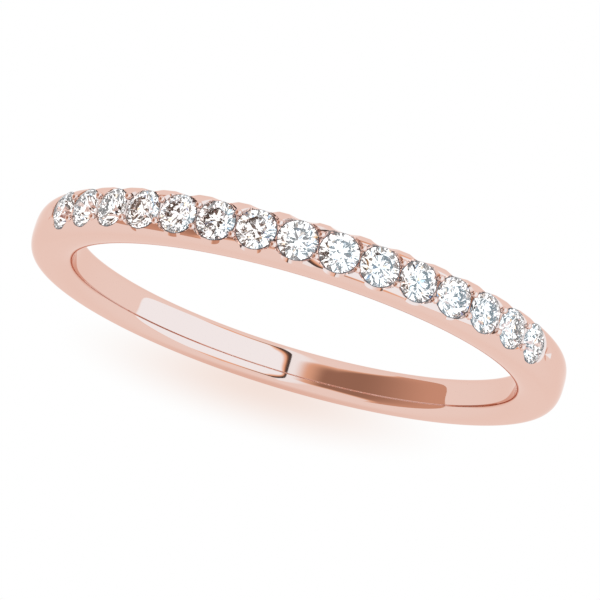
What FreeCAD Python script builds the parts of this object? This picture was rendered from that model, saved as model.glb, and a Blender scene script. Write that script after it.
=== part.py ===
"""Diamond-set wedding band: one cast gold band and fifteen round brilliant stones in a single row.

Millimetres. The origin is the centre of the finger hole, +Y runs along the finger, and +Z points to
the middle stone. The band is thickest under the stones and tapers towards the back of the finger.
"""
import FreeCAD, Part

import math
import os

from FreeCAD import Placement, Rotation, Vector

# Band
BORE_RADIUS = 8.65            # finger hole, 17.3 mm across
THICKNESS_TOP = 2.02          # radial, under the middle stone
THICKNESS_BACK = 1.37         # radial, opposite the stones
HALF_WIDTH_TOP = 0.91         # along the finger, at the widest line
HALF_WIDTH_BACK = 0.84
WIDEST_AT = 0.633             # height of the widest line, as a share of the thickness
DOME_FULLNESS = 2.76          # superellipse power of the outer half of the section
FLANK_FULLNESS = 3.0          # superellipse power of the inner half of the section
FLAT_HALF_SIDE = 0.60         # half-width of the flat finger face, over the sides and top
FLAT_HALF_BACK = 0.38         # half-width of the flat finger face, at the back
INNER_EDGE_RADIUS = 0.18      # rounding between the flat finger face and the flanks
SECTION_POINTS = 32           # points that each section curve runs through
BAND_STATIONS = 24            # sections around the band
EDGE_TOLERANCE = 0.001

# Row of stones
STONE_COUNT = 15
STONE_PITCH = 8.365           # degrees between neighbouring stones, about the row's own centre
ROW_RADIUS = 10.31            # from the row's centre to the girdles
ROW_RISE = 0.11               # the row's centre lies this far above the bore's centre
STONE_TURN = 16.7             # degrees that each stone is turned against the one before it

# Round brilliant cut, as shares of the stone's diameter, and angles in degrees
STONE_DIAMETER = 1.46
TABLE_SHARE = 0.57
GIRDLE_SHARE = 0.03
STAR_LENGTH = 0.50
LOWER_HALF_LENGTH = 0.77
CROWN_ANGLE = 34.5
PAVILION_ANGLE = 40.75
FACET_STEP = 45.0

# Seats and beads
SEAT_CLEARANCE = 0.006        # between a stone and its seat
COUNTERSINK_ANGLE = 45.0      # bright-cut wall around each stone
COUNTERSINK_HEIGHT = 0.6
DRILL_RADIUS = 0.36           # open hole under each stone
DRILL_DEPTH = 2.6
FRONT_SCALLOP = (1.80, 0.725, 50.0)  # groove beside each stone on the -Y side: radius, distance of
REAR_SCALLOP = (1.30, 0.675, 20.0)   # its innermost line from the middle plane at the girdle, and
SCALLOP_ABOVE = 0.5                  # degrees that it runs outwards on its way down
SCALLOP_BELOW = 1.9
END_CUT_STEP = 0.745          # pitches from each end stone to the tapered cut that closes the row
END_CUT_ANGLE = 68.0          # half-angle of that cut
END_CUT_HEIGHT = 0.5
BEAD_RADIUS = 0.135
BEAD_OFFSET = 0.41            # of each bead from the band's middle plane
BEAD_RISE = 0.12              # of a bead's centre above the girdles
BEAD_ROOT = 0.30              # how far each bead's stem reaches down into the band

girdle_radius = STONE_DIAMETER / 2
half_girdle = STONE_DIAMETER * GIRDLE_SHARE / 2


def taper(top, back, angle):
    """A size that changes smoothly from top to back around the band."""
    return back + (top - back) * (1 + math.cos(angle)) / 2


def flat_half_width(angle):
    """Half-width of the flat finger face."""
    toward_back = max(0.0, -math.cos(angle))
    return FLAT_HALF_SIDE + (FLAT_HALF_BACK - FLAT_HALF_SIDE) * toward_back


def superellipse(turn, power):
    """Signed cosine and sine, drawn out to a superellipse."""
    cosine = math.cos(turn)
    sine = math.sin(turn)
    across = math.copysign(abs(cosine) ** (2 / power), cosine)
    up = math.copysign(abs(sine) ** (2 / power), sine)
    return across, up


def section_points(angle):
    """One section of the band: a dome outside, and rounded flanks that the finger hole trims flat."""
    thickness = taper(THICKNESS_TOP, THICKNESS_BACK, angle)
    half_width = taper(HALF_WIDTH_TOP, HALF_WIDTH_BACK, angle)
    inner_height = WIDEST_AT * thickness
    outer_height = thickness - inner_height
    flat_share = flat_half_width(angle) / half_width
    trimmed_height = inner_height / (1 - flat_share ** FLANK_FULLNESS) ** (1 / FLANK_FULLNESS)
    points = []
    for index in range(SECTION_POINTS):
        turn = 2 * math.pi * index / SECTION_POINTS - math.pi / 2
        outside = math.sin(turn) >= 0
        across, up = superellipse(turn, DOME_FULLNESS if outside else FLANK_FULLNESS)
        height = outer_height if outside else trimmed_height
        radius = BORE_RADIUS + inner_height + height * up
        points.append(Vector(radius * math.sin(angle), half_width * across, radius * math.cos(angle)))
    return points


def closed_curve(points):
    """Smooth closed curve through evenly numbered points."""
    curve = Part.BSplineCurve()
    numbers = [float(n) for n in range(len(points) + 1)]
    curve.interpolate(Points=points, PeriodicFlag=True, Parameters=numbers)
    return curve


def on_rim(edge):
    """True for an edge that runs around the finger hole, on its wall."""
    start = edge.Vertexes[0].Point
    on_wall = abs(math.hypot(start.x, start.z) - BORE_RADIUS) < EDGE_TOLERANCE
    return on_wall and not isinstance(edge.Curve, Part.Line)


def band_blank():
    """The band before any stone is set: one smooth surface around the ring, bored to the finger size."""
    stations = [2 * math.pi * index / BAND_STATIONS + math.pi for index in range(BAND_STATIONS)]
    sections = [closed_curve(section_points(angle)) for angle in stations]
    poles_by_section = [section.getPoles() for section in sections]
    lines = [closed_curve(list(line)) for line in zip(*poles_by_section)]
    poles = [line.getPoles() for line in lines]
    section = sections[0]
    line = lines[0]
    surface = Part.BSplineSurface()
    surface.buildFromPolesMultsKnots(
        poles,
        section.getMultiplicities(), line.getMultiplicities(),
        section.getKnots(), line.getKnots(),
        True, True, section.Degree, line.Degree,
    )
    skin = Part.Solid(Part.Shell([surface.toShape()]))
    if skin.Volume < 0:
        skin.reverse()
    bore_length = 6 * HALF_WIDTH_TOP
    bore = Part.makeCylinder(BORE_RADIUS, bore_length, Vector(0, -bore_length / 2, 0), Vector(0, 1, 0))
    bored = skin.cut(bore)
    return bored.makeFillet(INNER_EDGE_RADIUS, [edge for edge in bored.Edges if on_rim(edge)])


def row_placement(position):
    """Placement on the row at a stone number counted from the middle stone; +Z leaves the band."""
    angle = position * STONE_PITCH
    turn = Rotation(Vector(0, 1, 0), angle)
    return Placement(turn.multVec(Vector(0, 0, ROW_RADIUS)) + Vector(0, 0, ROW_RISE), turn)


def lathe(profile):
    """Solid turned about the local Z axis from (radius, height) points."""
    points = [Vector(radius, 0, height) for radius, height in profile]
    wire = Part.makePolygon(points + points[:1])
    return Part.Face(wire).revolve(Vector(0, 0, 0), Vector(0, 0, 1), 360)


def seat_cutter():
    """What the setter removes for one stone: drilled hole, bearing cone, girdle wall and bright cut."""
    seat_radius = girdle_radius + SEAT_CLEARANCE
    slope = math.tan(math.radians(PAVILION_ANGLE))
    cone_foot = -half_girdle - (seat_radius - DRILL_RADIUS) * slope
    mouth_radius = seat_radius + COUNTERSINK_HEIGHT * math.tan(math.radians(COUNTERSINK_ANGLE))
    mouth_height = half_girdle + COUNTERSINK_HEIGHT
    return lathe([
        (0, -DRILL_DEPTH),
        (DRILL_RADIUS, -DRILL_DEPTH),
        (DRILL_RADIUS, cone_foot),
        (seat_radius, -half_girdle),
        (seat_radius, half_girdle),
        (mouth_radius, mouth_height),
        (0, mouth_height),
    ])


def stone_envelope():
    """Round outline of a stone with its clearance, used to bear the beads against the stones."""
    rim = girdle_radius + SEAT_CLEARANCE
    peak = half_girdle + rim * math.tan(math.radians(CROWN_ANGLE))
    return lathe([(0, -girdle_radius), (rim, -half_girdle), (rim, half_girdle), (0, peak)])


def bead(side):
    """One raised bead between two stones, on the given side of the band, cut clear of both."""
    stem_length = BEAD_ROOT + BEAD_RISE
    foot = Vector(0, side * BEAD_OFFSET, -BEAD_ROOT)
    top = Vector(0, side * BEAD_OFFSET, BEAD_RISE)
    stem = Part.makeCylinder(BEAD_RADIUS, stem_length, foot)
    return stem.fuse(Part.makeSphere(BEAD_RADIUS, top))


def side_scallop(side, radius, reach, tilt_degrees):
    """Cylinder that hollows the band's side beside one stone, so that the stone shows from the side."""
    tilt = math.radians(tilt_degrees)
    downwards = Vector(0, side * math.sin(tilt), -math.cos(tilt))
    on_axis = Vector(0, side * (reach + radius / math.cos(tilt)), 0)
    above = SCALLOP_ABOVE + radius * math.tan(tilt)
    return Part.makeCylinder(radius, above + SCALLOP_BELOW, on_axis - downwards * above, downwards)


def end_cut():
    """Shallow tapered cut with its point at the girdles' height."""
    mouth = END_CUT_HEIGHT * math.tan(math.radians(END_CUT_ANGLE))
    return lathe([(0, 0), (mouth, END_CUT_HEIGHT), (0, END_CUT_HEIGHT)])


def set_beads():
    """Front and rear beads in every gap of the row."""
    envelope = stone_envelope()
    beads = []
    for gap in range(STONE_COUNT - 1):
        position = gap + 0.5 - (STONE_COUNT - 1) / 2
        neighbours = []
        for stone in (position - 0.5, position + 0.5):
            neighbours.append(envelope.transformed(row_placement(stone).toMatrix()))
        for side in (-1, 1):
            raised = bead(side).transformed(row_placement(position).toMatrix())
            beads.append(raised.cut(neighbours))
    return beads


def make_band():
    """The finished band, ready for its stones."""
    last = (STONE_COUNT - 1) / 2
    tools = [seat_cutter(), side_scallop(-1, *FRONT_SCALLOP), side_scallop(1, *REAR_SCALLOP)]
    cutters = []
    for stone in range(STONE_COUNT):
        place = row_placement(stone - last).toMatrix()
        cutters += [tool.transformed(place) for tool in tools]
    for position in (-last - END_CUT_STEP, last + END_CUT_STEP):
        cutters.append(end_cut().transformed(row_placement(position).toMatrix()))
    seated = band_blank().cut(cutters)
    return seated.fuse(set_beads())


def girdle_point(angle, height, radius=girdle_radius):
    """Point at an angle in degrees about the stone's axis."""
    turn = math.radians(angle)
    return Vector(radius * math.cos(turn), radius * math.sin(turn), height)


def facet_cutter(first, second, third):
    """Block that lies beyond the plane through three points, on the side away from the stone's middle."""
    size = 4 * STONE_DIAMETER
    normal = (second - first).cross(third - first)
    if normal.dot(first) < 0:
        normal = normal * -1
    block = Part.makeBox(size, size, size, Vector(-size / 2, -size / 2, 0))
    block.Placement = Placement(first, Rotation(Vector(0, 0, 1), normal))
    return block


def crown_height(radius):
    """Height of the main crown facets at a radius, along a facet's own middle line."""
    return half_girdle + (girdle_radius - radius) * math.tan(math.radians(CROWN_ANGLE))


def crown_cutters(angle):
    """Main, star and two upper halves of one eighth of the crown."""
    half_step = FACET_STEP / 2
    across = math.cos(math.radians(half_step))
    table_radius = TABLE_SHARE * girdle_radius
    table_height = crown_height(table_radius)
    star_radius = table_radius * across + STAR_LENGTH * (girdle_radius - table_radius * across)
    star_height = crown_height(star_radius * across)
    rim = girdle_point(angle, half_girdle)
    table_corner = girdle_point(angle, table_height, table_radius)
    next_corner = girdle_point(angle + FACET_STEP, table_height, table_radius)
    side_way = girdle_point(angle + 90, 0)
    joins = [girdle_point(angle + side * half_step, star_height, star_radius) for side in (-1, 1)]
    cutters = [facet_cutter(rim, table_corner, rim + side_way)]
    cutters.append(facet_cutter(table_corner, next_corner, joins[1]))
    for side, join in zip((-1, 1), joins):
        beside = girdle_point(angle + side * half_step, half_girdle)
        cutters.append(facet_cutter(rim, beside, join))
    return cutters


def pavilion_cutters(angle):
    """Main and two lower halves of one eighth of the pavilion."""
    half_step = FACET_STEP / 2
    slope = math.tan(math.radians(PAVILION_ANGLE))
    join_radius = girdle_radius * (1 - LOWER_HALF_LENGTH)
    join_height = -half_girdle - (girdle_radius - join_radius * math.cos(math.radians(half_step))) * slope
    rim = girdle_point(angle, -half_girdle)
    culet = Vector(0, 0, -half_girdle - girdle_radius * slope)
    cutters = [facet_cutter(rim, culet, rim + girdle_point(angle + 90, 0))]
    for side in (-1, 1):
        beside = girdle_point(angle + side * half_step, -half_girdle)
        join = girdle_point(angle + side * half_step, join_height, join_radius)
        cutters.append(facet_cutter(rim, beside, join))
    return cutters


def make_brilliant():
    """Round brilliant of 57 facets, its girdle's middle plane at the origin and its table up."""
    table_height = crown_height(TABLE_SHARE * girdle_radius)
    depth = half_girdle + girdle_radius * math.tan(math.radians(PAVILION_ANGLE))
    stone = Part.makeCylinder(girdle_radius, table_height + depth, Vector(0, 0, -depth))
    for index in range(round(360 / FACET_STEP)):
        angle = index * FACET_STEP
        for cutter in crown_cutters(angle) + pavilion_cutters(angle):
            stone = stone.cut(cutter)
    return stone


def write(name, shape):
    """One STEP file for one named piece."""
    shape.exportStep(f"parts/{name}.step")
    print(name, len(shape.Solids), "solid", round(shape.Volume, 4), "mm3", "valid", shape.isValid())


os.makedirs("parts", exist_ok=True)
write("band", make_band())
brilliant = make_brilliant()
for number in range(STONE_COUNT):
    place = row_placement(number - (STONE_COUNT - 1) / 2)
    spin = Placement(Vector(0, 0, 0), Rotation(Vector(0, 0, 1), number * STONE_TURN))
    write(f"diamond_{number + 1:02d}", brilliant.transformed(place.multiply(spin).toMatrix()))
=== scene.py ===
import math

import bpy
import numpy as np
from mathutils import Matrix, Vector

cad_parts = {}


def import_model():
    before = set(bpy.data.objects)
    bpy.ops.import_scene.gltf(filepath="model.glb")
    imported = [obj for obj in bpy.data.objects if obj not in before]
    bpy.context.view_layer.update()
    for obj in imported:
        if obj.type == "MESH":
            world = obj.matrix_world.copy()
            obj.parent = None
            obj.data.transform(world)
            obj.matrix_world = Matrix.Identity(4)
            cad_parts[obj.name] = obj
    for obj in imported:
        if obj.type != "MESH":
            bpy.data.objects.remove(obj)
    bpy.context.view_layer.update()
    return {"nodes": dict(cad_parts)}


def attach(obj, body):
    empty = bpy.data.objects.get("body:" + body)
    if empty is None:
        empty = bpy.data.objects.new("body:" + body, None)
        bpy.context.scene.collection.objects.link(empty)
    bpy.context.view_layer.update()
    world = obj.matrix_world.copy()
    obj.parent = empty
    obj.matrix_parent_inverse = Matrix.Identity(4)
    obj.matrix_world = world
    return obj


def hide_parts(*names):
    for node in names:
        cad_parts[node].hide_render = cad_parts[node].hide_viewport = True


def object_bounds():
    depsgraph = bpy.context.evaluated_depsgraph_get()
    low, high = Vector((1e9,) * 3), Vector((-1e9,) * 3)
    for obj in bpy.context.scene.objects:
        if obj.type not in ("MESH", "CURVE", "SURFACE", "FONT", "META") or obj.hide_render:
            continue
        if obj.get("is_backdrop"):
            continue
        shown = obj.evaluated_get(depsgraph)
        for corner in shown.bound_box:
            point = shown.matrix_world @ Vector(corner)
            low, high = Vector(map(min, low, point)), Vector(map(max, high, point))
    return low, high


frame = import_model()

# Camera, in millimetres and degrees, seen from the front and well above the ring
CAMERA_AZIMUTH = 16.07
CAMERA_ELEVATION = 75.56
CAMERA_ROLL = 0.31
CAMERA_DISTANCE = 129.75
CAMERA_RIGHT = 0.09
CAMERA_UP = 0.53
CAMERA_LENS = 206.97
SENSOR = 36.0

# Metal
ROSE_GOLD = (0.811, 0.571, 0.497, 1.0)
EDGE_TINT = (0.93, 0.80, 0.75, 1.0)
POLISH = (0.02, 0.02)          # least roughness, and what the grain adds
GRAIN_SCALE = 600.0
SEAT_WHITE = (0.93, 0.93, 0.95, 1.0)  # metal under the stones, colourless so that the stones look so too
SEAT_WHITE_RADIUS = 0.72       # millimetres from the stone's axis
SEAT_WHITE_DEPTH = 1.2         # and below its girdle

# Band, in millimetres, the same shape as the CAD band with a softer inner edge
BORE_RADIUS = 8.65
THICKNESS = (2.02, 1.37)       # under the middle stone, and at the back
HALF_WIDTH = (0.91, 0.84)
FLAT_HALF = (0.60, 0.38)       # flat finger face: sides and top, back
WIDEST_AT = 0.633
DOME_FULLNESS = 2.76
FLANK_FULLNESS = 3.0
INNER_SOFTNESS = (0.10, 0.065)  # rounding of the inner edge: at the sides, and at the top and back
INSET = 0.003                  # keeps the visual band inside the CAD band
STATIONS = 540
OUTSIDE_POINTS = 72
INSIDE_POINTS = 110
EDGE_LIMIT = 1e-5              # share of the half-width that the inner side's formula stops short of
SLOPE_STEP = 1e-5
SKIN_DISTANCE = 0.002          # a face this close to the formula's surface is skin
SKIN_PARALLEL = 0.97           # if the cosine between their normals is also more than this
SHARP_ANGLE = 25.0

# Row of stones, in millimetres and degrees
STONE_COUNT = 15
STONE_PITCH = 8.365
ROW_RADIUS = 10.31
ROW_RISE = 0.11
SEAT_RADIUS = 0.736
HALF_GIRDLE = 0.0219
PAVILION_ANGLE = 40.75
CROWN_ANGLE = 34.5
COUNTERSINK_ANGLE = 45.0
COUNTERSINK_HEIGHT = 0.6
DRILL_RADIUS = 0.36
DRILL_DEPTH = 2.6
SCALLOPS = {                   # by side, front and rear: radius, reach from the middle plane, tilt
    -1: (1.80, 0.725, 50.0),
    1: (1.30, 0.675, 20.0),
}
SCALLOP_ABOVE = 0.5
SCALLOP_BELOW = 1.9
END_CUT_STEP = 0.745
END_CUT_ANGLE = 68.0
END_CUT_HEIGHT = 0.5
BEAD_RADIUS = 0.135
BEAD_OFFSET = 0.41
BEAD_RISE = 0.12
BEAD_ROOT = 0.30

# Studio colours, and the place and size on the floor, in metres, of the painted pink shadow near the ring
SKY = (1.0, 1.0, 1.0)
GAP = (1.05, 1.30, 1.44)
SOFTBOX = (1.08, 1.38, 1.56)
RIM_ORANGE = (0.95, 0.62, 0.42)
RIM_BROWN = (0.30, 0.17, 0.11)
RIM_DARK = (0.088, 0.079, 0.077)
CARD = (0.36, 0.22, 0.16)
CARD_EDGE = (0.86, 0.58, 0.42)
CARD_LOW = (0.68, 0.43, 0.32)
# painted shadow on the floor near the ring, tinted pink as if by light the ring reflects
PAINTED_PINK_SHADOW = (0.90, 0.76, 0.70)
PAINTED_SHADOW_CENTRE = (-0.0014, -0.00095)
PAINTED_SHADOW_LENGTH = 0.0088
PAINTED_SHADOW_WIDTH = 0.0022
FLOOR_HALF = 3.0

# Studio shapes, in degrees: "around" is measured from straight up towards -X, and "along" towards +Y
GAP_CENTRE = 2.0
GAP_EDGE = (16.0, 3.0)         # from its centre: where the gap ends, and where it is full
CARD_REACH = (7.0, 96.0)
CARD_SHIFT = 5.0               # the card's middle lies this far towards -Y
CARD_HALF = 30.0
CARD_SPREAD = (25.0, 0.52)     # where the card starts to widen, and how fast
CARD_CORNER = 14.0
CARD_SOFTNESS = (11.0, -0.09)  # at the vertical, and its change per degree around
CARD_FADE = (35.0, 85.0)       # from its dark part to its light one
BOX_SQUEEZE = 0.27             # shrinks "along", which draws the softbox's corners out
BOX_OUTER = (-96.0, -0.4, 20.2)  # outer border of the dark rim: from, to, half-length
BOX_INNER = (-92.0, -2.0, 18.2)
BOX_SLANT = 0.11               # leans the inner border, so the rim is thicker towards +Y
BOX_CORNER = 3.0
BOX_NEAR_END = -45.0           # beyond this the corners are larger
BOX_NEAR_CORNERS = (8.0, 15.0)  # by this much: outer border, inner border
RIM_FADE = (-60.0, -12.0)      # from an orange rim to a dark one

# Stones, and the sky that shows through them
SPECK_SCALE = 6.5
SPECK_EDGE = (0.49, 0.455)
SPECK_SHIFT = 0.001            # between the colours of the spectrum
STONE_BRIGHT = 1.6
STONE_DARK = 0.04
STONE_IOR = 2.55
GIRDLE_GREY = (0.22, 0.23, 0.25, 1.0)
GIRDLE_BAND = 0.030            # half-height of the frosted edge of a stone, in millimetres


class Nodes:
    """Short names for building node trees."""

    def __init__(self, tree):
        self.tree = tree
        tree.nodes.clear()

    def new(self, kind, **settings):
        node = self.tree.nodes.new(kind)
        for name, value in settings.items():
            setattr(node, name, value)
        return node

    def put(self, socket, value):
        if isinstance(value, bpy.types.NodeSocket):
            self.tree.links.new(value, socket)
        elif isinstance(value, tuple) and len(value) == 3 and len(socket.default_value) == 4:
            socket.default_value = (*value, 1.0)
        else:
            socket.default_value = value

    def math(self, operation, *values):
        node = self.new("ShaderNodeMath", operation=operation)
        for socket, value in zip(node.inputs, values):
            self.put(socket, value)
        return node.outputs[0]

    def step(self, value, low, high):
        """0 below low, 1 above high (reversed when low > high)."""
        node = self.new("ShaderNodeMapRange", interpolation_type="SMOOTHSTEP", clamp=True)
        reverse = low > high
        self.put(node.inputs["Value"], value)
        self.put(node.inputs["From Min"], high if reverse else low)
        self.put(node.inputs["From Max"], low if reverse else high)
        self.put(node.inputs["To Min"], 1.0 if reverse else 0.0)
        self.put(node.inputs["To Max"], 0.0 if reverse else 1.0)
        return node.outputs["Result"]

    def mix(self, factor, first, second):
        node = self.new("ShaderNodeMix", data_type="RGBA", clamp_factor=True)
        self.put(node.inputs[0], factor)
        self.put(node.inputs[6], first)
        self.put(node.inputs[7], second)
        return node.outputs[2]


def stone_coordinates(n):
    """Angle around the row, distance from the nearest stone's axis, and height above its girdle (metres)."""
    place = n.new("ShaderNodeSeparateXYZ")
    n.put(place.inputs[0], n.new("ShaderNodeNewGeometry").outputs["Position"])
    x, y, z = place.outputs
    z = n.math("SUBTRACT", z, ROW_RISE / 1000)
    pitch = math.radians(STONE_PITCH)
    angle = n.math("ARCTAN2", x, z)
    turn = n.math("WRAP", angle, pitch / 2, -pitch / 2)
    radius = n.math("SQRT", n.math("ADD", n.math("POWER", x, 2.0), n.math("POWER", z, 2.0)))
    aside = n.math("MULTIPLY", radius, n.math("SINE", turn))
    distance = n.math("SQRT", n.math("ADD", n.math("POWER", aside, 2.0), n.math("POWER", y, 2.0)))
    height = n.math("SUBTRACT", n.math("MULTIPLY", radius, n.math("COSINE", turn)), ROW_RADIUS / 1000)
    return angle, distance, height


def rose_gold():
    """Polished gold with a very fine grain."""
    material = bpy.data.materials.new("polished_rose_gold")
    material.use_nodes = True
    n = Nodes(material.node_tree)
    output = n.new("ShaderNodeOutputMaterial")
    shader = n.new("ShaderNodeBsdfPrincipled")
    angle, distance, height = stone_coordinates(n)
    in_row = n.math("LESS_THAN", n.math("ABSOLUTE", angle), math.radians(STONE_PITCH * STONE_COUNT / 2))
    in_seat = n.math("LESS_THAN", distance, SEAT_WHITE_RADIUS / 1000)
    low = n.math("GREATER_THAN", height, -SEAT_WHITE_DEPTH / 1000)
    under = n.math("LESS_THAN", height, -HALF_GIRDLE / 1000)
    pale = n.math("MULTIPLY", n.math("MULTIPLY", in_row, in_seat), n.math("MULTIPLY", low, under))
    n.put(shader.inputs["Base Color"], n.mix(pale, ROSE_GOLD, SEAT_WHITE))
    shader.inputs["Metallic"].default_value = 1.0
    grain = n.new("ShaderNodeTexNoise", noise_dimensions="3D")
    n.put(grain.inputs["Vector"], n.new("ShaderNodeNewGeometry").outputs["Position"])
    n.put(grain.inputs["Scale"], GRAIN_SCALE)
    polish = n.math("ADD", POLISH[0], n.math("MULTIPLY", grain.outputs["Fac"], POLISH[1]))
    n.put(shader.inputs["Roughness"], polish)
    shader.inputs["Specular Tint"].default_value = EDGE_TINT
    n.put(output.inputs["Surface"], shader.outputs["BSDF"])
    return material


def diamond():
    """Clear facets and a frosted girdle."""
    material = bpy.data.materials.new("diamond")
    material.use_nodes = True
    n = Nodes(material.node_tree)
    output = n.new("ShaderNodeOutputMaterial")
    shader = n.new("ShaderNodeBsdfPrincipled")
    shader.inputs["Base Color"].default_value = (1, 1, 1, 1)
    shader.inputs["Roughness"].default_value = 0.0
    shader.inputs["IOR"].default_value = STONE_IOR
    shader.inputs["Transmission Weight"].default_value = 1.0
    girdle = n.new("ShaderNodeBsdfDiffuse")
    girdle.inputs["Color"].default_value = GIRDLE_GREY
    _, _, height = stone_coordinates(n)
    on_girdle = n.math("LESS_THAN", n.math("ABSOLUTE", height), GIRDLE_BAND / 1000)
    surface = n.new("ShaderNodeMixShader")
    n.put(surface.inputs[0], on_girdle)
    n.put(surface.inputs[1], shader.outputs["BSDF"])
    n.put(surface.inputs[2], girdle.outputs["BSDF"])
    n.put(output.inputs["Surface"], surface.outputs[0])
    return material


def taper(sizes, angle):
    """A size that changes smoothly from top to back around the band."""
    top, back = sizes
    return back + (top - back) * (1 + np.cos(angle)) / 2


def band_sizes(angle):
    """Half-width, radius of the widest line, heights of the outer and inner halves around the ring."""
    thickness = taper(THICKNESS, angle) - INSET
    inner = WIDEST_AT * thickness
    half_width = taper(HALF_WIDTH, angle) - INSET
    return half_width, BORE_RADIUS + inner, thickness - inner, inner


def inner_radius(angle, y):
    """Radius of the inner side at a distance from the middle plane: finger face blended into the flanks."""
    half_width, widest, _, inner = band_sizes(angle)
    side, back = FLAT_HALF
    flat = side + (back - side) * np.maximum(0.0, -np.cos(angle))
    trimmed = inner / (1 - (flat / half_width) ** FLANK_FULLNESS) ** (1 / FLANK_FULLNESS)
    share = np.clip(np.abs(y) / half_width, 0, 1)
    flank = widest - trimmed * (1 - share ** FLANK_FULLNESS) ** (1 / FLANK_FULLNESS)
    gap = flank - BORE_RADIUS
    softness = INNER_SOFTNESS[1] + (INNER_SOFTNESS[0] - INNER_SOFTNESS[1]) * np.sin(angle) ** 2
    blended = BORE_RADIUS + (gap + np.sqrt(gap ** 2 + softness ** 2)) / 2
    return np.minimum(blended, widest)


def skin_normals(points):
    """Exact surface normals of the band's skin at points on it."""
    angle = np.arctan2(points[:, 0], points[:, 2])
    radius = np.hypot(points[:, 0], points[:, 2])
    y = points[:, 1]
    step = SLOPE_STEP

    def dome(a, r, w):
        half_width, widest, outer, _ = band_sizes(a)
        up = np.maximum(r - widest, 0) / outer
        return up ** DOME_FULLNESS + (np.abs(w) / half_width) ** DOME_FULLNESS

    def hollow(a, r, w):
        half_width = band_sizes(a)[0]
        limit = half_width * (1 - EDGE_LIMIT)
        return inner_radius(a, np.clip(w, -limit, limit)) - r

    normals = []
    for field in (dome, hollow):
        across = (field(angle, radius, y + step) - field(angle, radius, y - step)) / (2 * step)
        outward = (field(angle, radius + step, y) - field(angle, radius - step, y)) / (2 * step)
        around = (field(angle + step, radius, y) - field(angle - step, radius, y)) / (2 * step * radius)
        sine, cosine = np.sin(angle), np.cos(angle)
        toward_x = outward * sine + around * cosine
        toward_z = outward * cosine - around * sine
        vector = np.stack([toward_x, across, toward_z], axis=1)
        normals.append(vector / np.maximum(np.linalg.norm(vector, axis=1, keepdims=True), 1e-12))
    half_width, widest, _, _ = band_sizes(angle)
    outside = (radius > widest)[:, None]
    result = np.where(outside, normals[0], normals[1])
    at_edge = (np.abs(y) > half_width * 0.9995)[:, None]
    sideways = np.stack([0 * y, np.sign(y), 0 * y], axis=1)
    return np.where(at_edge, sideways, result)


def skin_mesh():
    """Closed mesh of the band before the stones are set."""
    angles = np.linspace(0, 2 * np.pi, STATIONS, endpoint=False)
    half_width, widest, outer, _ = band_sizes(angles)
    turns = np.linspace(0, np.pi, OUTSIDE_POINTS)
    rows = []
    for turn in turns:
        across = math.copysign(abs(math.cos(turn)) ** (2 / DOME_FULLNESS), math.cos(turn))
        rows.append((half_width * across, widest + outer * abs(math.sin(turn)) ** (2 / DOME_FULLNESS)))
    for share in -np.cos(np.linspace(0, np.pi, INSIDE_POINTS + 2)[1:-1]):
        y = half_width * share
        rows.append((y, inner_radius(angles, y)))
    count = len(rows)
    y = np.stack([row[0] for row in rows], axis=1)
    radius = np.stack([row[1] for row in rows], axis=1)
    sine, cosine = np.sin(angles)[:, None], np.cos(angles)[:, None]
    points = np.stack([radius * sine, y, radius * cosine], axis=2).reshape(-1, 3)
    faces = []
    for station in range(STATIONS):
        here, after = station * count, (station + 1) % STATIONS * count
        for k in range(count):
            nxt = (k + 1) % count
            faces.append((here + k, here + nxt, after + nxt, after + k))
    return points, faces


def mesh_object(name, parts):
    """One object from closed (points, faces) parts, in millimetres."""
    points, faces = [], []
    for part_points, part_faces in parts:
        start = len(points)
        points.extend(tuple(point) for point in part_points)
        faces.extend(tuple(start + index for index in face) for face in part_faces)
    mesh = bpy.data.meshes.new(name)
    mesh.from_pydata(points, [], faces)
    obj = bpy.data.objects.new(name, mesh)
    bpy.context.scene.collection.objects.link(obj)
    return obj


def row_place(position):
    """Place on the row at a stone number counted from the middle stone."""
    turn = Matrix.Rotation(math.radians(position * STONE_PITCH), 4, "Y")
    return Matrix.Translation((0, 0, ROW_RISE)) @ turn @ Matrix.Translation((0, 0, ROW_RADIUS))


def placed(part, place):
    """A part moved to its place."""
    points, faces = part
    return [place @ Vector(point) for point in points], faces


def lathe(profile, segments=72):
    """Closed mesh turned about Z from (radius, height) points, first and last on the axis, upwards."""
    points, faces = [], []
    rings = profile[1:-1]
    for radius, height in rings:
        for index in range(segments):
            turn = 2 * math.pi * index / segments
            points.append((radius * math.cos(turn), radius * math.sin(turn), height))
    bottom, top = len(points), len(points) + 1
    points += [(0, 0, profile[0][1]), (0, 0, profile[-1][1])]
    last = (len(rings) - 1) * segments
    for index in range(segments):
        nxt = (index + 1) % segments
        faces.append((bottom, nxt, index))
        faces.append((top, last + index, last + nxt))
        for ring in range(len(rings) - 1):
            low, high = ring * segments, (ring + 1) * segments
            faces.append((low + index, low + nxt, high + nxt, high + index))
    return points, faces


def seat_part():
    """What is cut for one stone: drilled hole, bearing cone, girdle wall and bright cut."""
    slope = math.tan(math.radians(PAVILION_ANGLE))
    foot = -HALF_GIRDLE - (SEAT_RADIUS - DRILL_RADIUS) * slope
    mouth = SEAT_RADIUS + COUNTERSINK_HEIGHT * math.tan(math.radians(COUNTERSINK_ANGLE))
    top = HALF_GIRDLE + COUNTERSINK_HEIGHT
    return lathe([
        (0, -DRILL_DEPTH), (DRILL_RADIUS, -DRILL_DEPTH), (DRILL_RADIUS, foot),
        (SEAT_RADIUS, -HALF_GIRDLE), (SEAT_RADIUS, HALF_GIRDLE), (mouth, top), (0, top),
    ])


def stone_part():
    """Round envelope of a stone, used to trim the beads."""
    peak = HALF_GIRDLE + SEAT_RADIUS * math.tan(math.radians(CROWN_ANGLE))
    return lathe([(0, -SEAT_RADIUS), (SEAT_RADIUS, -HALF_GIRDLE), (SEAT_RADIUS, HALF_GIRDLE), (0, peak)])


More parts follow.
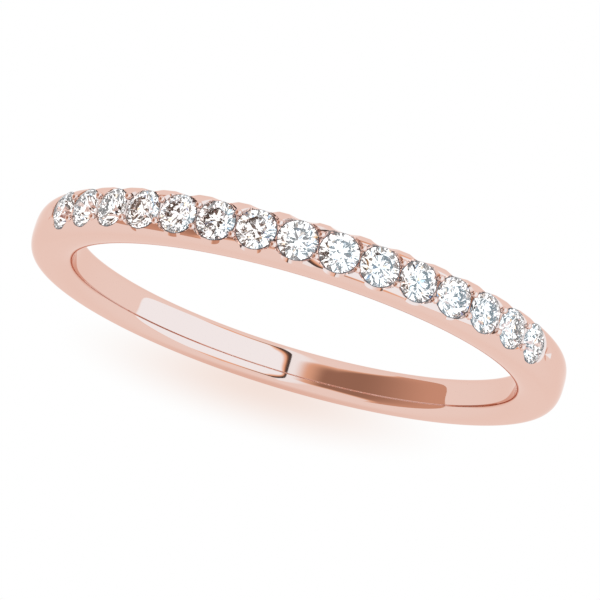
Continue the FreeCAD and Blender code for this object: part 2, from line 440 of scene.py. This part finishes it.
def scallop_part(side):
    """Cylinder that hollows one side of the band beside a stone."""
    radius, reach, tilt = SCALLOPS[side]
    tilt = math.radians(tilt)
    on_axis = Vector((0, side * (reach + radius / math.cos(tilt)), 0))
    down = Vector((0, side * math.sin(tilt), -math.cos(tilt)))
    place = Matrix.Translation(on_axis) @ Vector((0, 0, -1)).rotation_difference(down).to_matrix().to_4x4()
    low, high = -SCALLOP_BELOW, SCALLOP_ABOVE + radius * math.tan(tilt)
    return placed(lathe([(0, low), (radius, low), (radius, high), (0, high)], 144), place)


def end_part():
    """Shallow tapered cut that closes one end of the row."""
    mouth = END_CUT_HEIGHT * math.tan(math.radians(END_CUT_ANGLE))
    tip = 0.01
    return lathe([
        (0, 0), (tip, tip * END_CUT_HEIGHT / mouth), (mouth, END_CUT_HEIGHT), (0, END_CUT_HEIGHT),
    ])


def bead_part(side):
    """Stem with a round head."""
    profile = [(0, -BEAD_ROOT), (BEAD_RADIUS, -BEAD_ROOT)]
    for step in range(10):
        turn = math.pi / 2 * step / 10
        profile.append((BEAD_RADIUS * math.cos(turn), BEAD_RISE + BEAD_RADIUS * math.sin(turn)))
    profile.append((0, BEAD_RISE + BEAD_RADIUS))
    return placed(lathe(profile, 32), Matrix.Translation((0, side * BEAD_OFFSET, 0)))


def combine(target, tool, operation):
    """Boolean of two objects; the tool is removed afterwards."""
    modifier = target.modifiers.new("cut", "BOOLEAN")
    modifier.operation = operation
    modifier.solver = "MANIFOLD"
    modifier.object = tool
    graph = bpy.context.evaluated_depsgraph_get()
    result = bpy.data.meshes.new_from_object(target.evaluated_get(graph))
    target.modifiers.clear()
    target.data = result
    bpy.data.objects.remove(tool)


def cut_band():
    """The band in millimetres, with its seats, side cuts, end cuts and beads."""
    band = mesh_object("band_polished", [skin_mesh()])
    last = (STONE_COUNT - 1) / 2
    seat, stone, ends = seat_part(), stone_part(), end_part()
    scallops = [scallop_part(-1), scallop_part(1)]
    positions = [index - last for index in range(STONE_COUNT)]
    beads = []
    for index in range(STONE_COUNT - 1):
        for side in (-1, 1):
            beads.append(placed(bead_part(side), row_place(index + 0.5 - last)))
    bead_object = mesh_object("beads", beads)
    for first in (0, 1):
        mine = [row_place(position) for position in positions[first::2]]
        stones = mesh_object("stones", [placed(stone, place) for place in mine])
        combine(bead_object, stones, "DIFFERENCE")
        seats = mesh_object("seats", [placed(seat, place) for place in mine])
        combine(band, seats, "DIFFERENCE")
        cuts = [placed(part, place) for place in mine for part in scallops]
        combine(band, mesh_object("scallops", cuts), "DIFFERENCE")
    tips = [placed(ends, row_place(side * (last + END_CUT_STEP))) for side in (-1, 1)]
    combine(band, mesh_object("ends", tips), "DIFFERENCE")
    combine(band, bead_object, "UNION")
    return band


def read(items, name, size=1, kind=float):
    """An attribute of mesh items as an array."""
    values = np.empty(len(items) * size, dtype=kind)
    items.foreach_get(name, values)
    return values.reshape(-1, size) if size > 1 else values


def give_exact_normals(mesh):
    """Exact normals on what is left of the skin, and sharp edges around it and between the cuts."""
    points = read(mesh.vertices, "co", 3)
    of_corner = read(mesh.loops, "vertex_index", kind=np.int64)
    edge_of_corner = read(mesh.loops, "edge_index", kind=np.int64)
    face_normal = read(mesh.polygons, "normal", 3)
    totals = read(mesh.polygons, "loop_total", kind=np.int64)
    starts = np.concatenate([[0], np.cumsum(totals)[:-1]])
    of_face = np.repeat(np.arange(len(totals)), totals)
    exact = skin_normals(points)
    good = (np.abs(skin_distance(points)) < SKIN_DISTANCE)[of_corner]
    good &= (exact[of_corner] * face_normal[of_face]).sum(axis=1) > SKIN_PARALLEL
    use = np.logical_and.reduceat(good, starts)[of_face]
    mesh.shade_smooth()
    mesh.set_sharp_from_angle(angle=math.radians(SHARP_ANGLE))
    sharp_edges = mesh.attributes["sharp_edge"].data
    sharp = read(sharp_edges, "value", kind=bool)
    on_edge = np.bincount(edge_of_corner, weights=use, minlength=len(sharp))
    sharp |= on_edge == 1
    sharp_edges.foreach_set("value", sharp)
    corners = read(mesh.corner_normals, "vector", 3)
    corners[use] = exact[of_corner][use]
    mesh.normals_split_custom_set([tuple(vector) for vector in corners])


def visual_band(material):
    """The band on a fine regular mesh with exact normals."""
    band = cut_band()
    mesh = band.data
    give_exact_normals(mesh)
    mesh.transform(Matrix.Scale(0.001, 4))
    mesh.materials.clear()
    mesh.materials.append(material)
    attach(band, "root")
    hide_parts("band")


def skin_distance(points):
    """Roughly how far points lie from the band's skin."""
    angle = np.arctan2(points[:, 0], points[:, 2])
    radius = np.hypot(points[:, 0], points[:, 2])
    y = points[:, 1]
    half_width, widest, outer, _ = band_sizes(angle)
    up = np.maximum(radius - widest, 0) / outer
    size = (up ** DOME_FULLNESS + (np.abs(y) / half_width) ** DOME_FULLNESS) ** (1 / DOME_FULLNESS)
    above = (size - 1) * 0.7
    limit = half_width * (1 - EDGE_LIMIT)
    slope_step = 10 * SLOPE_STEP
    here = inner_radius(angle, np.clip(y, -limit, limit))
    beside = inner_radius(angle, np.clip(np.abs(y) - slope_step, 0, limit))
    slope = np.abs(here - beside) / slope_step
    below = (here - radius) / np.sqrt(1 + slope ** 2)
    return np.where(radius > widest, above, below)


def assign(node, material):
    """One material on a CAD node."""
    mesh = frame["nodes"][node].data
    mesh.materials.clear()
    mesh.materials.append(material)


def camera():
    """Camera that frames the ring from the front and well above."""
    azimuth = math.radians(CAMERA_AZIMUTH)
    elevation = math.radians(CAMERA_ELEVATION)
    toward = Vector((
        math.sin(azimuth) * math.cos(elevation),
        -math.cos(azimuth) * math.cos(elevation),
        math.sin(elevation),
    ))
    forward = -toward
    right = forward.cross(Vector((0, 0, 1))).normalized()
    up = right.cross(forward)
    roll = math.radians(CAMERA_ROLL)
    right_rolled = right * math.cos(roll) + up * math.sin(roll)
    up_rolled = up * math.cos(roll) - right * math.sin(roll)
    place = toward * CAMERA_DISTANCE + right_rolled * CAMERA_RIGHT + up_rolled * CAMERA_UP
    data = bpy.data.cameras.new("camera")
    data.lens = CAMERA_LENS
    data.sensor_width = SENSOR
    data.clip_start = 0.001
    data.clip_end = 10.0
    obj = bpy.data.objects.new("camera", data)
    bpy.context.scene.collection.objects.link(obj)
    turn = Matrix((right_rolled, up_rolled, toward)).transposed().to_4x4()
    obj.matrix_world = Matrix.Translation(place / 1000) @ turn
    bpy.context.scene.camera = obj


def floor():
    """Plain pale floor under the ring, with a painted pink shadow near the ring, as if tinted by light the
    ring reflects.
    """
    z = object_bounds()[0].z
    corners = [(x * FLOOR_HALF, y * FLOOR_HALF, z) for x, y in ((-1, -1), (1, -1), (1, 1), (-1, 1))]
    mesh = bpy.data.meshes.new("floor")
    mesh.from_pydata(corners, [], [(0, 1, 2, 3)])
    obj = bpy.data.objects.new("floor", mesh)
    bpy.context.scene.collection.objects.link(obj)
    material = bpy.data.materials.new("floor")
    material.use_nodes = True
    n = Nodes(material.node_tree)
    output = n.new("ShaderNodeOutputMaterial")
    light = n.new("ShaderNodeEmission")
    place = n.new("ShaderNodeSeparateXYZ")
    n.put(place.inputs[0], n.new("ShaderNodeNewGeometry").outputs["Position"])
    x, y, _ = place.outputs
    # painted shadow: the floor's light turns darker and pink towards the spot under the ring
    off = n.math("SQRT", n.math("ADD",
        n.math("POWER", n.math("DIVIDE", n.math("SUBTRACT", x, PAINTED_SHADOW_CENTRE[0]), PAINTED_SHADOW_LENGTH), 2.0),
        n.math("POWER", n.math("DIVIDE", n.math("SUBTRACT", y, PAINTED_SHADOW_CENTRE[1]), PAINTED_SHADOW_WIDTH), 2.0)))
    painted_shadow = n.step(off, 1.0, 0.0)
    n.put(light.inputs["Color"], n.mix(painted_shadow, (1.0, 1.0, 1.0), PAINTED_PINK_SHADOW))
    n.put(light.inputs["Strength"], 1.0)
    n.put(output.inputs["Surface"], light.outputs[0])
    mesh.materials.append(material)
    obj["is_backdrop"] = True


def panel(n, around, along, low, high, half, corner):
    """Signed distance, in degrees, to a rounded panel centred on the ring's plane."""
    middle = (low + high) / 2
    across = n.math("SUBTRACT", n.math("ABSOLUTE", n.math("SUBTRACT", around, middle)), (high - low) / 2)
    over = n.math("SUBTRACT", n.math("ABSOLUTE", along), half)
    across = n.math("ADD", across, corner)
    over = n.math("ADD", over, corner)
    outside = n.math("SQRT", n.math("ADD",
        n.math("POWER", n.math("MAXIMUM", across, 0.0), 2.0),
        n.math("POWER", n.math("MAXIMUM", over, 0.0), 2.0)))
    inside = n.math("MINIMUM", n.math("MAXIMUM", across, over), 0.0)
    return n.math("SUBTRACT", n.math("ADD", outside, inside), corner)


def stone_sky(n, direction):
    """Bright sky with small dark panels, shifted a little from red to blue, for rays through a stone."""
    channels = []
    for shift in (-SPECK_SHIFT, 0.0, SPECK_SHIFT):
        moved = n.new("ShaderNodeVectorMath", operation="ADD")
        n.put(moved.inputs[0], direction)
        n.put(moved.inputs[1], (shift, shift, -shift))
        spots = n.new("ShaderNodeTexNoise", noise_dimensions="3D")
        n.put(spots.inputs["Vector"], moved.outputs[0])
        n.put(spots.inputs["Scale"], SPECK_SCALE)
        n.put(spots.inputs["Detail"], 1.0)
        n.put(spots.inputs["Roughness"], 0.5)
        dark = n.step(spots.outputs["Fac"], *SPECK_EDGE)
        loss = n.math("MULTIPLY", dark, STONE_BRIGHT - STONE_DARK)
        channels.append(n.math("SUBTRACT", STONE_BRIGHT, loss))
    joined = n.new("ShaderNodeCombineColor")
    for socket, value in zip(joined.inputs, channels):
        n.put(socket, value)
    return joined.outputs[0]


def add_card(n, colour, around, along):
    """Brown card on the -X side, soft towards its borders and lighter at its low end."""
    widen_from, widening = CARD_SPREAD
    beyond = n.math("MAXIMUM", n.math("SUBTRACT", around, widen_from), 0.0)
    half = n.math("ADD", CARD_HALF, n.math("MULTIPLY", beyond, widening))
    card = panel(n, around, n.math("ADD", along, CARD_SHIFT), *CARD_REACH, half, CARD_CORNER)
    low_part = n.mix(n.step(around, *CARD_FADE), CARD, CARD_LOW)
    softness = n.math("ADD", CARD_SOFTNESS[0], n.math("MULTIPLY", around, CARD_SOFTNESS[1]))
    depth = n.math("DIVIDE", card, softness)
    colour = n.mix(n.step(depth, 0.5, -0.3), colour, CARD_EDGE)
    return n.mix(n.step(depth, -0.1, -1.3), colour, low_part)


def add_softbox(n, colour, around, along):
    """Softbox on the +X side: sharp outer border, and a dark rim that fades inwards."""
    near_end = n.math("GREATER_THAN", around, BOX_NEAR_END)
    squeezed = n.math("MULTIPLY", along, BOX_SQUEEZE)
    slanted = n.math("ADD", around, n.math("MULTIPLY", squeezed, BOX_SLANT))
    outer_corner, inner_corner = [
        n.math("ADD", BOX_CORNER, n.math("MULTIPLY", near_end, more)) for more in BOX_NEAR_CORNERS
    ]
    outer = panel(n, around, squeezed, *BOX_OUTER, outer_corner)
    inner = panel(n, slanted, squeezed, *BOX_INNER, inner_corner)
    rim = n.math("DIVIDE", inner, n.math("MAXIMUM", n.math("SUBTRACT", inner, outer), 0.3))
    fade = n.step(around, *RIM_FADE)
    darkest = n.mix(fade, RIM_ORANGE, RIM_DARK)
    middle = n.mix(fade, RIM_ORANGE, RIM_BROWN)
    box = n.mix(n.step(rim, -1.0, 0.0), SOFTBOX, RIM_ORANGE)
    box = n.mix(n.step(rim, -0.1, 0.3), box, middle)
    box = n.mix(n.step(rim, 0.2, 0.6), box, darkest)
    return n.mix(n.step(outer, 0.2, -0.2), colour, box)


def world():
    """Studio around the ring: pale sky, card and softbox, and another sky for rays through a stone."""
    data = bpy.data.worlds.new("studio")
    bpy.context.scene.world = data
    data.use_nodes = True
    n = Nodes(data.node_tree)
    output = n.new("ShaderNodeOutputWorld")
    background = n.new("ShaderNodeBackground")
    direction = n.new("ShaderNodeTexCoord").outputs["Generated"]
    parts = n.new("ShaderNodeSeparateXYZ")
    n.put(parts.inputs[0], direction)
    x, y, z = parts.outputs
    around = n.math("DEGREES", n.math("ARCTAN2", n.math("MULTIPLY", x, -1.0), z))
    along = n.math("DEGREES", n.math("ARCSINE", y))
    from_gap = n.math("ABSOLUTE", n.math("SUBTRACT", around, GAP_CENTRE))
    colour = n.mix(n.step(from_gap, *GAP_EDGE), SKY, GAP)
    colour = add_card(n, colour, around, along)
    colour = add_softbox(n, colour, around, along)
    passed = n.new("ShaderNodeLightPath").outputs["Transmission Depth"]
    through_stone = n.math("GREATER_THAN", passed, 0.5)
    colour = n.mix(through_stone, colour, stone_sky(n, direction))
    n.put(background.inputs["Color"], colour)
    n.put(background.inputs["Strength"], 1.0)
    n.put(output.inputs["Surface"], background.outputs[0])


gold = rose_gold()
stone = diamond()
for name in frame["nodes"]:
    assign(name, gold if name == "band" else stone)
visual_band(gold)
camera()
floor()
world()
bpy.context.scene.view_settings.view_transform = "Standard"
bpy.context.scene.cycles.max_bounces = 32
bpy.context.scene.cycles.transmission_bounces = 32
bpy.context.scene.cycles.glossy_bounces = 24
